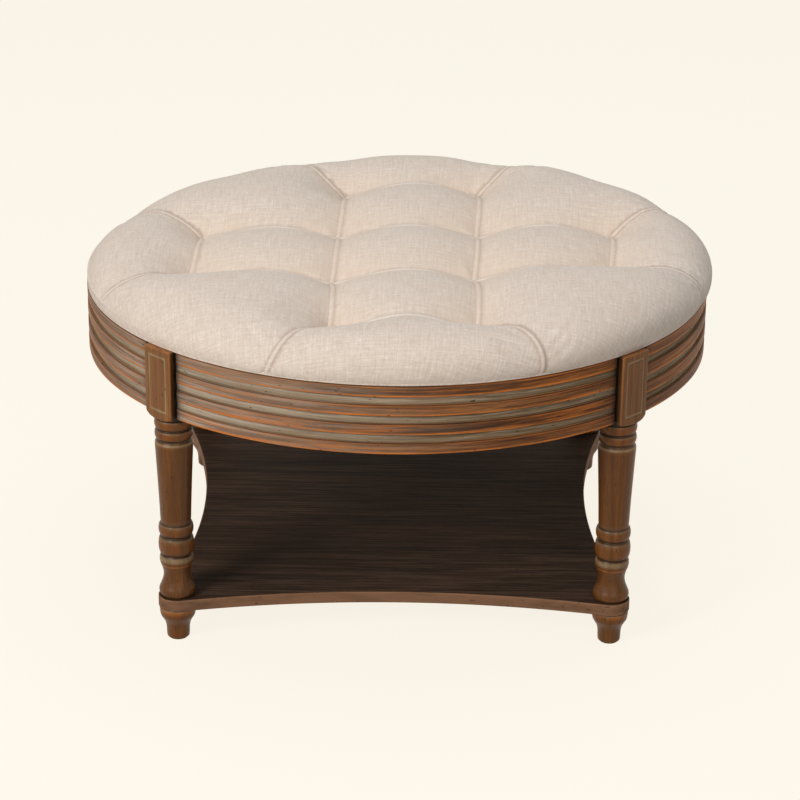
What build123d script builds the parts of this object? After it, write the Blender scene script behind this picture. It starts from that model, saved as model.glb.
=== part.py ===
from build123d import *
import math
import os

# Round tufted ottoman coffee table, in millimetres, +Z up.
# The origin is on the floor under the middle of the table, and the front faces -Y.
# Four bent panels with rows of strips on them make a drum between four post blocks, one on
# top of each turned leg. The legs stand on the corners of a square shelf with hollowed
# sides, and a loose tenon joins each leg to its foot through the shelf. The tufted cushion
# is drawn over a board that sits on top of the drum.

# Heights of the stack, from the floor up
pad_thickness = 2.0
foot_height = 46.0
shelf_thickness = 16.0
leg_length = 358.0

# Drum: rows of strips on bent panels
apron_radius = 430.0
strip_row_count = 4
strip_height = 15.4
strip_spacing = 10.3
strip_thickness = 4.0
strip_end_gap = 3.5
panel_thickness = 15.0

# Post blocks and turned legs
leg_setback = 18.7
leg_radius = 25.2
block_width = 50.0
block_depth = 50.0
block_proud = 8.0
block_length = 100.0
shoulder_rise = 13.0
inlay_width = 34.0
inlay_top_margin = 9.0
inlay_bottom_margin = 13.0
inlay_line_width = 3.0
inlay_line_depth = 1.2

# Shelf
shelf_front_hollow = 9.0
shelf_side_hollow = 16.0
shelf_corner_radius = 25.6

# Feet, and the felt pads under them
foot_radius = 24.5
pad_width = 20.0

# Cushion
cushion_overhang = 4.5
cushion_foot_overhang = 1.0
cushion_widest_rise = 12.0
cushion_rise = 63.0
crest_setback = 70.5
rim_fall = 12.0
tuft_drop = 41.0
tuft_pitch_share = 0.4419
cover_thickness = 1.5
board_thickness = 12.0
soft_clearance = 0.3

# Tapes that hold the tufts down
tape_width = 8.0
tape_thickness = 0.8
tape_tail = 26.0
tape_clearance = 0.3
dust_cover_thickness = 0.6
dust_cover_margin = 2.0

# Corner blocks, notched round the posts inside the drum
corner_block_height = 45.0
corner_block_width = 120.0
corner_block_thickness = 30.0

# Loose tenons between the panels and the posts
tenon_length = 32.0
tenon_height = 40.0
tenon_thickness = 5.0
tenon_clearance = 0.05

# Loose tenons between the feet and the legs, through the shelf
foot_tenon_width = 18.0
foot_tenon_thickness = 8.0
foot_tenon_bite = 24.0
foot_tenon_end_room = 2.0

# Hexagon-headed screws that hold the board
screw_radius = 2.5
screw_head_radius = 5.0
screw_head_height = 3.5
screw_length = 54.0
screw_clearance = 0.1

# How far a cutting shape runs past what it cuts
overrun = 5.0

# Straight facets that stand for one arc of a turned outline
turning_steps = 3

# Outlines from the bottom up, as shares of the radius and of the height. A pair ends a
# straight stretch, and four numbers are an arc's middle and its end.
neck_share = 0.921
leg_outline_shares = (
    (0, 0), (0.964, 0),
    (0.698, 0.105, 0.893, 0.182),
    (0.893, 0.226), (0.813, 0.236),
    (0.933, 0.285, 0.813, 0.334),
    (0.921, 0.366, 0.802, 0.398),
    (1.0, 0.862), (neck_share, 0.884),
    (1.0, 0.910, neck_share, 0.936),
    (1.0, 0.968, neck_share, 1.0),
    (0, 1.0),
)
foot_outline_shares = (
    (0, 0), (0.600, 0), (0.640, 0.304), (0.735, 0.509), (0.960, 0.740), (1.0, 1.0), (0, 1.0),
)
shoulder_middle_shares = (0.59, 0.27)
quarter_round_share = math.sqrt(0.5)

# Where the cushion's cross-sections lie inside a pillow, as shares of half the tuft pitch
pillow_station_shares = (1 / 3, 1)
rim_station_shares = (0.3, 0.65)
seam_fade_share = 0.75

# Straight edges round the dust cover
dust_cover_sides = 16

# Levels and radii worked out from the sizes above
shelf_bottom = pad_thickness + foot_height
shelf_top = shelf_bottom + shelf_thickness
apron_top = shelf_top + leg_length
apron_height = strip_row_count * (strip_height + strip_spacing) - strip_spacing
apron_bottom = apron_top - apron_height
block_bottom = apron_top - block_length
panel_outer = apron_radius - strip_thickness
panel_inner = panel_outer - panel_thickness
block_face = apron_radius + block_proud
block_inner = block_face - block_depth
half_block = block_width / 2
leg_circle_radius = apron_radius - leg_setback
leg_offset = leg_circle_radius / math.sqrt(2)
inlay_height = block_length - inlay_top_margin - inlay_bottom_margin
shoulder_radius = neck_share * leg_radius
cushion_radius = apron_radius + cushion_overhang
cushion_foot_radius = apron_radius + cushion_foot_overhang
cushion_crest_radius = cushion_radius - crest_setback
tuft_pitch = tuft_pitch_share * cushion_radius
board_top = apron_top + board_thickness
board_radius = cushion_foot_radius - cover_thickness - soft_clearance
tape_bottom = apron_top - tape_thickness
corner_block_inner = block_inner - corner_block_thickness
corner_block_bottom = apron_top - corner_block_height
screw_circle_radius = block_inner - corner_block_thickness / 2
half_pitch = tuft_pitch / 2
half_drop = tuft_drop / 2

sides = {"front": 0, "right": 90, "back": 180, "left": 270}
corner_angles = (-45, 45, 135, 225)
base = (Align.CENTER, Align.CENTER, Align.MIN)


def turned(points, steps=1):
    """Revolve a half outline of (radius, level) pairs, each arc in so many straight steps."""
    outline = [points[0]]
    for point in points[1:]:
        if len(point) == 2:
            outline.append(point)
            continue
        arc = ThreePointArc(outline[-1], point[:2], point[2:])
        for step in range(1, steps + 1):
            spot = arc @ (step / steps)
            outline.append((spot.X, spot.Y))
    return revolve(Plane.XZ * make_face(Polyline(*outline, close=True)), Axis.Z)


def scaled(shares, radius, bottom, height):
    """Turn an outline of shares into radii and levels."""
    points = []
    for row in shares:
        values = []
        for place, share in enumerate(row):
            values.append(share * radius if place % 2 == 0 else bottom + share * height)
        points.append(tuple(values))
    return points


def disc(radius, bottom, top):
    """An upright round plate or rod between two levels."""
    return Pos(0, 0, bottom) * Cylinder(radius, top - bottom, align=base)


def slab(size_x, size_y, bottom, top):
    """An upright rectangular bar between two levels."""
    return Pos(0, 0, bottom) * Box(size_x, size_y, top - bottom, align=base)


def drum_sector(inner, outer, bottom, top, setback):
    """The front quarter of a hoop. Its ends lie beside the posts, a setback from their middles."""
    tip = (0, -setback * math.sqrt(2))
    wedge = Polygon(tip, (-outer, tip[1] - outer), (outer, tip[1] - outer), align=None)
    hoop = (Circle(outer) - Circle(inner)) & wedge
    return Pos(0, 0, bottom) * extrude(hoop, top - bottom)


def both_sides(shape):
    """A shape beside the post that lies along +X, and its twin on the post's other side."""
    return [shape, mirror(shape, Plane.XZ)]


def at_corners(shapes):
    """Copies of shapes drawn on the post along +X, at all four corners."""
    return [Rot(0, 0, angle) * shape for angle in corner_angles for shape in shapes]


def tenon(clearance=0):
    """The loose tenon in one side of the post along +X, or with a clearance its mortise."""
    middle = panel_inner + panel_thickness / 2
    length = tenon_length + 2 * clearance
    bar = Box(tenon_thickness + 2 * clearance, length, tenon_height + 2 * clearance)
    x = math.sqrt(middle ** 2 - half_block ** 2)
    return Pos(x, half_block, apron_bottom + apron_height / 2) * bar


def foot_tenon(clearance=0, end_room=0):
    """The loose tenon through the shelf below the leg along +X, or the space it needs."""
    bite = foot_tenon_bite + end_room
    bar = slab(foot_tenon_width + 2 * clearance, foot_tenon_thickness + 2 * clearance,
               shelf_bottom - bite, shelf_top + bite)
    return Pos(leg_circle_radius, 0, 0) * bar


def board_screw_hole():
    """The hole for the screw along +X, through the corner block and into the board."""
    tip = corner_block_bottom + screw_length + screw_clearance
    hole = disc(screw_radius + screw_clearance, corner_block_bottom - overrun, tip)
    return Pos(screw_circle_radius, 0, 0) * hole


def board_screw():
    """The screw up through the corner block along +X."""
    shank = disc(screw_radius, corner_block_bottom, corner_block_bottom + screw_length)
    hexagon = RegularPolygon(screw_head_radius, 6)
    head = Pos(0, 0, corner_block_bottom - screw_head_height) * extrude(hexagon, screw_head_height)
    return Pos(screw_circle_radius, 0, 0) * (shank + head)


def corner_block():
    """The block behind the post along +X, notched round it and fitted to the drum's inside."""
    reach = panel_inner - corner_block_inner
    blank = Pos(corner_block_inner, 0, corner_block_bottom) * Box(
        reach, corner_block_width, corner_block_height, align=(Align.MIN, Align.CENTER, Align.MIN))
    block = blank & disc(panel_inner, corner_block_bottom, apron_top)
    return block - post_blank() - board_screw_hole()


def post_blank():
    """The square blank of the block on top of the leg along +X."""
    return Pos(block_inner, 0, block_bottom) * Box(
        block_depth, block_width, block_length, align=(Align.MIN, Align.CENTER, Align.MIN))


def post_block():
    """The square block on top of a leg, its outer face on the drum's curve."""
    block = post_blank() & disc(block_face, block_bottom, apron_top)
    reach = block_width
    flare = shoulder_radius + shoulder_radius / 2
    shoulder = turned([
        (0, 0), (shoulder_radius, 0),
        (shoulder_radius + shoulder_middle_shares[0] * (flare - shoulder_radius),
         shoulder_middle_shares[1] * shoulder_rise, flare, shoulder_rise),
        (reach, shoulder_rise), (reach, block_length), (0, block_length)], turning_steps)
    return block & Pos(leg_circle_radius, 0, block_bottom) * shoulder


def inlay_line():
    """The rectangular line sunk into the outer face of the block along +X."""
    middle = apron_top - inlay_top_margin - inlay_height / 2
    frame = Rectangle(inlay_width, inlay_height) - Rectangle(
        inlay_width - 2 * inlay_line_width, inlay_height - 2 * inlay_line_width)
    face = Plane((block_inner, 0, middle), x_dir=(0, 1, 0), z_dir=(1, 0, 0))
    return face * extrude(frame, block_depth + overrun) - disc(
        block_face - inlay_line_depth, block_bottom, apron_top)


def leg():
    """One leg along +X, with its post block and its joints."""
    turned_length = leg_length - block_length
    shaft = turned(scaled(leg_outline_shares, leg_radius, shelf_top, turned_length), turning_steps)
    body = post_block() + Pos(leg_circle_radius, 0, 0) * shaft
    body -= foot_tenon(tenon_clearance, foot_tenon_end_room)
    body -= inlay_line()
    return body - both_sides(tenon(tenon_clearance))


def panel():
    """The bent panel of the front quarter, between two posts."""
    quarter = drum_sector(panel_inner, panel_outer, apron_bottom, apron_top, half_block)
    return quarter - at_corners(both_sides(tenon(tenon_clearance)))


def strip(row):
    """One strip of the front quarter. Row 0 is at the top."""
    top = apron_top - row * (strip_height + strip_spacing)
    return drum_sector(
        panel_outer, apron_radius, top - strip_height, top, half_block + strip_end_gap)


def hollow_end(depth):
    """Where a side of the shelf, hollowed by a depth, runs smoothly into a round corner."""
    side_radius = (leg_offset ** 2 + depth ** 2 - shelf_corner_radius ** 2) / (
        2 * (shelf_corner_radius + depth))
    lean = math.atan2(leg_offset, side_radius - depth)
    along = leg_offset - shelf_corner_radius * math.sin(lean)
    out = leg_offset + shelf_corner_radius * math.cos(lean)
    return along, out


def shelf():
    """The square shelf: four hollow arcs that run smoothly into round corners."""
    nose = leg_offset + shelf_corner_radius / math.sqrt(2)
    front_along, front_out = hollow_end(shelf_front_hollow)
    side_along, side_out = hollow_end(shelf_side_hollow)
    front = (front_along, -front_out)
    side = (side_out, -side_along)
    edges = [
        ThreePointArc((-front_along, -front_out), (0, shelf_front_hollow - leg_offset), front),
        ThreePointArc(front, (nose, -nose), side),
        ThreePointArc(side, (leg_offset - shelf_side_hollow, 0), (side_out, side_along)),
        ThreePointArc((side_out, side_along), (nose, nose), (front_along, front_out)),
    ]
    edges += [Rot(0, 0, 180) * edge for edge in edges]
    board = Pos(0, 0, shelf_bottom) * extrude(make_face(edges), shelf_thickness)
    return board - at_corners([foot_tenon(tenon_clearance)])


def foot():
    """One turned foot under the leg along +X."""
    body = turned(scaled(foot_outline_shares, foot_radius, pad_thickness, foot_height))
    body = Pos(leg_circle_radius, 0, 0) * body
    return body - foot_tenon(tenon_clearance, foot_tenon_end_room)


def foot_pad():
    """The square of felt under a foot."""
    return Pos(leg_circle_radius, 0, 0) * slab(pad_width, pad_width, 0, pad_thickness)


def tuft_places():
    """A square grid of four by four tufts, without its corners."""
    steps = [(place - 1.5) * tuft_pitch for place in range(4)]
    reach = 2 * tuft_pitch
    return [(x, y) for x in steps for y in steps if math.hypot(x, y) < reach]


def sag(distance):
    """How far the pillows' tops lie under the crown at a distance from the middle row: 0 to 1."""
    if distance > 3 * half_pitch:
        left = max(0, cushion_crest_radius - distance)
        return (left / (cushion_crest_radius - 3 * half_pitch)) ** 2
    from_middle = abs((distance + half_pitch) % tuft_pitch - half_pitch)
    return (from_middle / half_pitch) ** 2


def seam_depth(distance):
    """How deep a seam lies beside its pillows: full between tufts, and fading to the rim."""
    past = max(0, distance - 3 * half_pitch) / (cushion_radius - 3 * half_pitch)
    return 1 - seam_fade_share * min(1, past)


def cushion_section(y):
    """The cushion's cross-section at one place along Y: five arcs from seam to seam."""
    away = abs(y)
    crest_step = cushion_crest_radius - 3 * half_pitch
    past_outer = max(0, away - 3 * half_pitch)
    past_inner = max(0, away - half_pitch)
    inner_x = half_pitch + past_outer
    outer_x = 3 * half_pitch + past_inner
    end_x = outer_x + 2 * crest_step
    middle_z = cushion_rise - half_drop * sag(away)
    inner_z = middle_z - half_drop * seam_depth(away)
    outer_sag = sag(away) if past_inner == 0 else sag(outer_x)
    outer_z = cushion_rise - half_drop * (outer_sag + seam_depth(outer_x))
    beside_z = middle_z if away < tuft_pitch else cushion_rise
    edge_z = cushion_rise - rim_fall * min(1, (away / cushion_crest_radius) ** 2)
    end_z = cushion_rise - rim_fall
    edges = [Line((-end_x, 0), (end_x, 0)), Line((end_x, 0), (end_x, end_z))]
    edges.append(ThreePointArc((end_x, end_z), (outer_x + crest_step, edge_z), (outer_x, outer_z)))
    edges.append(ThreePointArc(
        (outer_x, outer_z), ((outer_x + inner_x) / 2, beside_z), (inner_x, inner_z)))
    edges.append(ThreePointArc((inner_x, inner_z), (0, middle_z), (-inner_x, inner_z)))
    edges.append(ThreePointArc(
        (-inner_x, inner_z), (-(outer_x + inner_x) / 2, beside_z), (-outer_x, outer_z)))
    edges.append(ThreePointArc(
        (-outer_x, outer_z), (-outer_x - crest_step, edge_z), (-end_x, end_z)))
    edges.append(Line((-end_x, end_z), (-end_x, 0)))
    return Pos(0, y, 0) * (Plane.XZ * make_face(edges))


def cushion_stations():
    """Where the cross-sections lie along Y, closest over the pillows' curves."""
    half = []
    for row_middle in (0, tuft_pitch):
        for share in pillow_station_shares:
            half += [row_middle - share * half_pitch, row_middle + share * half_pitch]
    rim_width = cushion_radius - 3 * half_pitch
    half += [3 * half_pitch + share * rim_width for share in rim_station_shares]
    half.append(cushion_radius + overrun)
    places = sorted({round(place, 6) for place in half if place > 0})
    return [-place for place in reversed(places)] + places


def round_pad():
    """The cushion's round outside: drawn in at the foot, widest low down, and rounded over."""
    rim_round = cushion_rise - cushion_widest_rise
    rim_centre = cushion_radius - rim_round
    return turned([
        (0, 0), (cushion_foot_radius, 0), (cushion_radius, cushion_widest_rise),
        (rim_centre + quarter_round_share * rim_round,
         cushion_widest_rise + quarter_round_share * rim_round, rim_centre, cushion_rise),
        (0, cushion_rise)], turning_steps)


def tufted_cushion():
    """The padded cover, hollow below for the board that it is drawn over."""
    sections = [cushion_section(y) for y in cushion_stations()]
    body = Pos(0, 0, apron_top) * (round_pad() & loft(sections, ruled=True))
    return body - disc(board_radius + soft_clearance, apron_top - overrun, board_top)


def tape_slots():
    """Upright slots for the tapes through the board."""
    slot = slab(tape_width + 2 * tape_clearance, tape_thickness + 2 * tape_clearance,
                apron_top - overrun, board_top + overrun)
    return [Pos(x, y, 0) * slot for x, y in tuft_places()]


def tuft_tapes():
    """A tape down from each tuft, with its tail turned under the board."""
    upright = slab(tape_width, tape_thickness, tape_bottom, board_top)
    tail = Pos(0, (tape_tail - tape_thickness) / 2, 0) * slab(
        tape_width, tape_tail, tape_bottom, apron_top)
    return [Pos(x, y, 0) * (upright + tail) for x, y in tuft_places()]


def seat_board():
    """The round board in the cushion, slotted for the tapes and screwed from below."""
    body = disc(board_radius, apron_top, board_top) - tape_slots()
    return body - at_corners([board_screw_hole()])


def dust_cover():
    """The cloth over the tapes, folded under along straight edges between the corner blocks."""
    outline = RegularPolygon(corner_block_inner - dust_cover_margin, dust_cover_sides)
    return Pos(0, 0, tape_bottom - dust_cover_thickness) * extrude(outline, dust_cover_thickness)


def drum_nodes():
    """The four panels, and the rows of strips on them."""
    nodes = {}
    front_panel = panel()
    for side, angle in sides.items():
        nodes["apron_panel_" + side] = Rot(0, 0, angle) * front_panel
    for row in range(strip_row_count):
        front_strip = strip(row)
        ring = [Rot(0, 0, angle) * front_strip for angle in sides.values()]
        nodes[f"strip_row_{row + 1}"] = ring
    return nodes


def corner_nodes():
    """Everything that repeats at the four corners."""
    return {
        "legs": at_corners([leg()]),
        "feet": at_corners([foot()]),
        "foot_pads": at_corners([foot_pad()]),
        "foot_tenons": at_corners([foot_tenon()]),
        "apron_tenons": at_corners(both_sides(tenon())),
        "corner_blocks": at_corners([corner_block()]),
        "board_screws": at_corners([board_screw()]),
    }


def other_nodes():
    """The shelf, and the cushion with what holds it."""
    return {
        "shelf": shelf(),
        "seat_board": seat_board(),
        "tufted_cushion": tufted_cushion(),
        "tuft_tapes": tuft_tapes(),
        "dust_cover": dust_cover(),
    }


def main():
    os.makedirs("parts", exist_ok=True)
    nodes = {**drum_nodes(), **corner_nodes(), **other_nodes()}
    for name, shape in nodes.items():
        shapes = shape if isinstance(shape, list) else [shape]
        pieces = [solid for piece in shapes for solid in piece.solids()]
        export_step(Compound(pieces) if len(pieces) > 1 else pieces[0], f"parts/{name}.step")


main()
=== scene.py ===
import math
import random

import bpy
import numpy as np
from mathutils import Matrix, Vector
from mathutils.geometry import delaunay_2d_cdt
from mathutils.kdtree import KDTree


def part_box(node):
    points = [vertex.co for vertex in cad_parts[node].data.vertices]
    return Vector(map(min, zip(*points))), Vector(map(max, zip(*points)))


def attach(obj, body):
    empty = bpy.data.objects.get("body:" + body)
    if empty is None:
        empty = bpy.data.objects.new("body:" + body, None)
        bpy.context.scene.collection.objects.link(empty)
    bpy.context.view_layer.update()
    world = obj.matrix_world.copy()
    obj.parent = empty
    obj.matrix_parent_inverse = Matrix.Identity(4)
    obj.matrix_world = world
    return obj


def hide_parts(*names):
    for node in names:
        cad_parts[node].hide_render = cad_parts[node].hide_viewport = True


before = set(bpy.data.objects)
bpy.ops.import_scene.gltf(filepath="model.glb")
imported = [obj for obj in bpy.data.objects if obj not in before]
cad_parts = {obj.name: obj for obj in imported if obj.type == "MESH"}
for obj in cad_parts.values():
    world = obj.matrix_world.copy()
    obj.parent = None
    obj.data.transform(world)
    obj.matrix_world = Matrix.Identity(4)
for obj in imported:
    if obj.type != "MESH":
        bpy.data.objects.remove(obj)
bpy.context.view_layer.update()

# Looks of a round tufted ottoman table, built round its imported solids.
# Lengths are in millimetres until a mesh is made, and the front faces -Y.

MM = 0.001
random.seed(7)
noise_source = np.random.default_rng(7)


# Sizes read from the frame

def levels(node):
    """The lowest and the highest level of a node, in millimetres."""
    return [corner[2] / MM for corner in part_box(node)]


def front_radius(node):
    """How far a round node reaches to the front, in millimetres."""
    return -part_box(node)[0][1] / MM


shelf_bottom, shelf_top = levels("shelf")
drum_bottom, drum_top = levels("apron_panel_front")
cushion_top = levels("tufted_cushion")[1]
board_top = levels("seat_board")[1]
foot_bottom = levels("feet")[0]
drum_radius = front_radius("strip_row_1")
cushion_radius = front_radius("tufted_cushion")
board_radius = front_radius("seat_board")

# Sizes that the frame doesn't give by itself
strip_thickness = 4.0
strip_round = 0.9
strip_back_round = 0.4
strip_waviness = 0.22
panel_thickness = 15.0
strip_end_gap = 3.5
leg_circle_radius = 411.3
leg_offset = leg_circle_radius / math.sqrt(2)
block_width = 50.0
block_depth = 50.0
block_face_radius = drum_radius + 8.0
block_length = 98.5
block_bottom = drum_top - block_length
inlay_width = 34.0
inlay_height = 78.0
inlay_top_margin = 9.0
inlay_line_width = 3.0
inlay_depth = 1.0
post_neck = 23.4
post_flare = 36.5
post_shoulder = 14.0
post_edge_round = 2.0
post_top_round = 1.6
shelf_front_hollow = 9.0
shelf_side_hollow = 16.0
shelf_corner_radius = 25.6

# The pale wash is strongest on this side and the opposite one, as an angle from +X
palest_direction = math.radians(-125)

corners = {name: math.radians(degrees) for name, degrees in (
    ("front_left", 225), ("front_right", -45), ("back_right", 45), ("back_left", 135))}
sides = {name: math.radians(degrees) for name, degrees in (
    ("front", -90), ("right", 0), ("back", 90), ("left", 180))}


# Colours and shader building

def rgb(red, green, blue):
    """A screen colour of 0 to 255 as linear light."""
    shares = (value / 255 for value in (red, green, blue))
    return (*(share / 12.92 if share <= 0.04045 else ((share + 0.055) / 1.055) ** 2.4
              for share in shares), 1.0)


glaze_paint = rgb(156, 134, 102)
dirt_colour = rgb(22, 15, 11)
speck_colour = rgb(38, 25, 18)


class Shader:
    """The node tree of a material or world, and short calls that add nodes to it."""

    def __init__(self, owner):
        owner.use_nodes = True
        self.owner = owner
        self.tree = owner.node_tree
        self.tree.nodes.clear()

    def add(self, kind, inputs=None, **settings):
        node = self.tree.nodes.new(kind)
        for key, value in settings.items():
            setattr(node, key, value)
        for key, value in (inputs or {}).items():
            self.put(node.inputs[key], value)
        return node

    def put(self, socket, value):
        """Link a node's output to a socket, or set the socket to a value."""
        if isinstance(value, bpy.types.NodeSocket):
            self.tree.links.new(value, socket)
        else:
            socket.default_value = value

    def attribute(self, name, output="Fac"):
        return self.add("ShaderNodeAttribute", attribute_name=name).outputs[output]

    def place(self):
        return self.add("ShaderNodeTexCoord").outputs["Object"]

    def scaled(self, vector, scale, offset=(0, 0, 0)):
        node = self.add("ShaderNodeMapping", {"Vector": vector, "Scale": scale, "Location": offset})
        return node.outputs[0]

    def noise(self, vector, detail, roughness=0.55, distortion=0.0):
        node = self.add("ShaderNodeTexNoise", {
            "Vector": vector, "Scale": 1.0, "Detail": detail, "Roughness": roughness,
            "Distortion": distortion})
        return node.outputs[0]

    def math(self, operation, first, second, clamp=False):
        node = self.add("ShaderNodeMath", {0: first, 1: second}, operation=operation)
        node.use_clamp = clamp
        return node.outputs[0]

    def times(self, first, second):
        return self.math("MULTIPLY", first, second)

    def blend(self, first, share, second):
        """So large a share of the first value, and the rest of the second."""
        return self.math("ADD", self.times(first, share), self.times(second, 1 - share))

    def ramp(self, factor, stops):
        """Colours or grey levels along a factor, from (place, colour) stops."""
        node = self.add("ShaderNodeValToRGB", {0: factor})
        band = node.color_ramp
        while len(band.elements) < len(stops):
            band.elements.new(0.5)
        for element, (place, colour) in zip(band.elements, stops):
            element.position = place
            element.color = colour if isinstance(colour, tuple) else (colour, colour, colour, 1)
        return node.outputs[0]

    def mix(self, factor, first, second):
        node = self.add("ShaderNodeMix", {0: factor, 6: first, 7: second}, data_type="RGBA")
        return node.outputs[2]

    def bump(self, height, strength, distance):
        node = self.add("ShaderNodeBump", {
            "Height": height, "Strength": strength, "Distance": distance * MM})
        return node.outputs[0]

    def seen_directly(self):
        """A factor that is 1 for what the camera sees straight, in gloss or through glass."""
        path = self.add("ShaderNodeLightPath")
        factor = path.outputs["Is Camera Ray"]
        for ray in ("Is Glossy Ray", "Is Transmission Ray"):
            factor = self.math("MAXIMUM", factor, path.outputs[ray])
        return factor

    def choose(self, share, first, second):
        """A mix of two shaders, or of two backgrounds."""
        shaders = {0: share, 1: first.outputs[0], 2: second.outputs[0]}
        return self.add("ShaderNodeMixShader", shaders).outputs[0]

    def finish(self, colour, roughness, normal, **constants):
        named = {key.replace("_", " "): value for key, value in constants.items()}
        surface = self.add("ShaderNodeBsdfPrincipled", {
            "Base Color": colour, "Roughness": roughness, "Normal": normal, **named})
        self.add("ShaderNodeOutputMaterial", {"Surface": surface.outputs[0]})
        return self.owner


def aged_wood(name, dark, body, light, rubbed, washed, patches, wash, uneven=0.0,
              fineness=1.0, least_rub=0.12, roughness=0.5, gloss=0.25):
    """Stained wood: streaks along the grain, rubbed patches and edges, a pale wash, pale glaze that
    is in places a painted highlight, and dark grime that also paints shade.

    Where it is uneven, the wash follows the piece's washed values.
    """
    s = Shader(bpy.data.materials.new(name))
    grain = s.attribute("grain", "Vector")

    def pattern(along, across, offset, finer=1.0, **looks):
        """Noise with so many features a metre along and across the grain."""
        scale = (along * finer, across * finer, across * finer)
        return s.noise(s.scaled(grain, scale, offset), **looks)

    streaks = pattern(7, 210, (0, 0, 0), fineness, detail=6, roughness=0.66, distortion=0.1)
    broad = pattern(3, 26, (3, 1, 2), detail=3)
    pores = pattern(30, 1400, (5, 0, 0), detail=2)
    colour = s.ramp(s.blend(streaks, 0.65, broad), [(0.38, dark), (0.49, body), (0.6, light)])
    colour = s.mix(s.ramp(pores, [(0.4, 0.6), (0.5, 0.0)]), colour, dark)

    wash_streaks = pattern(5, 150, (8, 3, 5), fineness, detail=6, roughness=0.7)
    wash_areas = pattern(4, 9, (6, 2, 3), detail=2)
    wash_amount = s.times(s.ramp(wash_areas, [(0.38, 0.5), (0.55, 1.0)]), wash)
    if uneven:
        wash_amount = s.times(wash_amount, s.attribute("washed"))
    wash_share = s.times(s.ramp(wash_streaks, [(0.46, 0.0), (0.6, 1.0)]), wash_amount)
    colour = s.mix(wash_share, colour, washed)
    if uneven:
        colour = s.mix(s.times(s.attribute("washed"), uneven), colour, washed)

    patch_streaks = pattern(6, 140, (1, 4, 7), fineness, detail=6, roughness=0.65)
    patch = s.times(s.ramp(patch_streaks, [(0.52, 0.0), (0.64, 1.0)]), patches)
    wear = pattern(13, 60, (9, 2, 1), detail=5, roughness=0.6)
    edge = s.times(s.attribute("rub"), s.ramp(wear, [(0.36, least_rub), (0.56, 0.95)]))
    colour = s.mix(s.math("ADD", patch, edge, clamp=True), colour, rubbed)

    # Pale glaze; on the strips' top faces it is partly a painted highlight of the light from above
    glaze = s.times(s.attribute("glaze"), s.ramp(wear, [(0.36, 0.5), (0.6, 1.0)]))
    colour = s.mix(glaze, colour, glaze_paint)
    # Dark grime, which also stands in for shade: painted shade in corners, grooves, gaps and under
    # other parts
    colour = s.mix(s.attribute("dirt"), colour, dirt_colour)
    specks = pattern(90, 300, (2, 8, 4), detail=1)
    colour = s.mix(s.ramp(specks, [(0.71, 0.0), (0.75, 0.75)]), colour, speck_colour)
    normal = s.bump(s.math("ADD", streaks, s.times(pores, 0.5)), 0.35, 0.5)
    rough = s.math("ADD", s.times(streaks, 0.3), roughness - 0.15)
    return s.finish(colour, rough, normal, Specular_IOR_Level=gloss)


def plain_wood(name, dark, light, scale):
    """Unfinished timber, its streaks scaled small across the grain and large along it."""
    s = Shader(bpy.data.materials.new(name))
    streaks = s.noise(s.scaled(s.place(), scale), detail=6, roughness=0.6, distortion=0.4)
    broad = s.noise(s.scaled(s.place(), (14, 14, 14)), detail=2)
    colour = s.ramp(s.blend(streaks, 0.7, broad), [(0.36, dark), (0.64, light)])
    return s.finish(colour, 0.72, s.bump(streaks, 0.3, 0.3))


def linen():
    """Plain woven linen with slubs both ways, painted warmer with bounce light where it is drawn
    in, with sewn seams.
    """
    s = Shader(bpy.data.materials.new("linen_cloth"))
    cloth = s.attribute("cloth", "Vector")
    slubs = s.blend(
        s.noise(s.scaled(cloth, (340, 24, 1)), detail=4, roughness=0.7), 0.5,
        s.noise(s.scaled(cloth, (28, 340, 1), (3, 5, 0)), detail=4, roughness=0.7))
    threads = s.blend(
        s.noise(s.scaled(cloth, (1200, 120, 1)), detail=1), 0.5,
        s.noise(s.scaled(cloth, (120, 1200, 1), (7, 2, 0)), detail=1))
    blotches = s.noise(s.scaled(cloth, (9, 9, 9)), detail=3)
    colour = s.ramp(s.blend(slubs, 0.62, threads), [
        (0.38, rgb(198, 183, 169)), (0.46, rgb(213, 198, 184)),
        (0.53, rgb(222, 209, 196)), (0.62, rgb(239, 230, 220))])
    # The warm tint in the hollows is painted bounce light; the seam colour at a tuft's point is
    # painted shade
    for mask, share, tint in (
            (blotches, 0.22, rgb(221, 199, 183)),
            (s.attribute("valley"), 0.35, rgb(230, 205, 180)),
            (s.attribute("lap"), 0.6, rgb(240, 231, 221)),
            (s.attribute("seam"), 0.55, rgb(168, 142, 122))):
        colour = s.mix(s.times(mask, share), colour, tint)
    normal = s.bump(s.math("ADD", threads, s.times(slubs, 0.8)), 0.35, 0.5)
    return s.finish(colour, 0.92, normal, Sheen_Weight=0.12, Sheen_Roughness=0.5,
                    Specular_IOR_Level=0.2)


def plain_cloth(name, base, other, pitch):
    """A woven or felted cloth in two colours, with so many threads a metre."""
    s = Shader(bpy.data.materials.new(name))
    threads = s.noise(s.scaled(s.place(), (pitch, pitch, pitch)), detail=3, roughness=0.7)
    colour = s.ramp(threads, [(0.35, base), (0.65, other)])
    return s.finish(colour, 0.95, s.bump(threads, 0.4, 0.4))


def zinc_steel():
    """Zinc-plated steel, a little cloudy."""
    s = Shader(bpy.data.materials.new("zinc_plate"))
    cloudy = s.noise(s.scaled(s.place(), (400, 400, 400)), detail=3)
    colour = s.ramp(cloudy, [(0.4, rgb(150, 150, 146)), (0.6, rgb(188, 188, 182))])
    rough = s.ramp(cloudy, [(0.4, 0.3), (0.6, 0.45)])
    return s.finish(colour, rough, s.bump(cloudy, 0.1, 0.1), Metallic=1.0)


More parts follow.
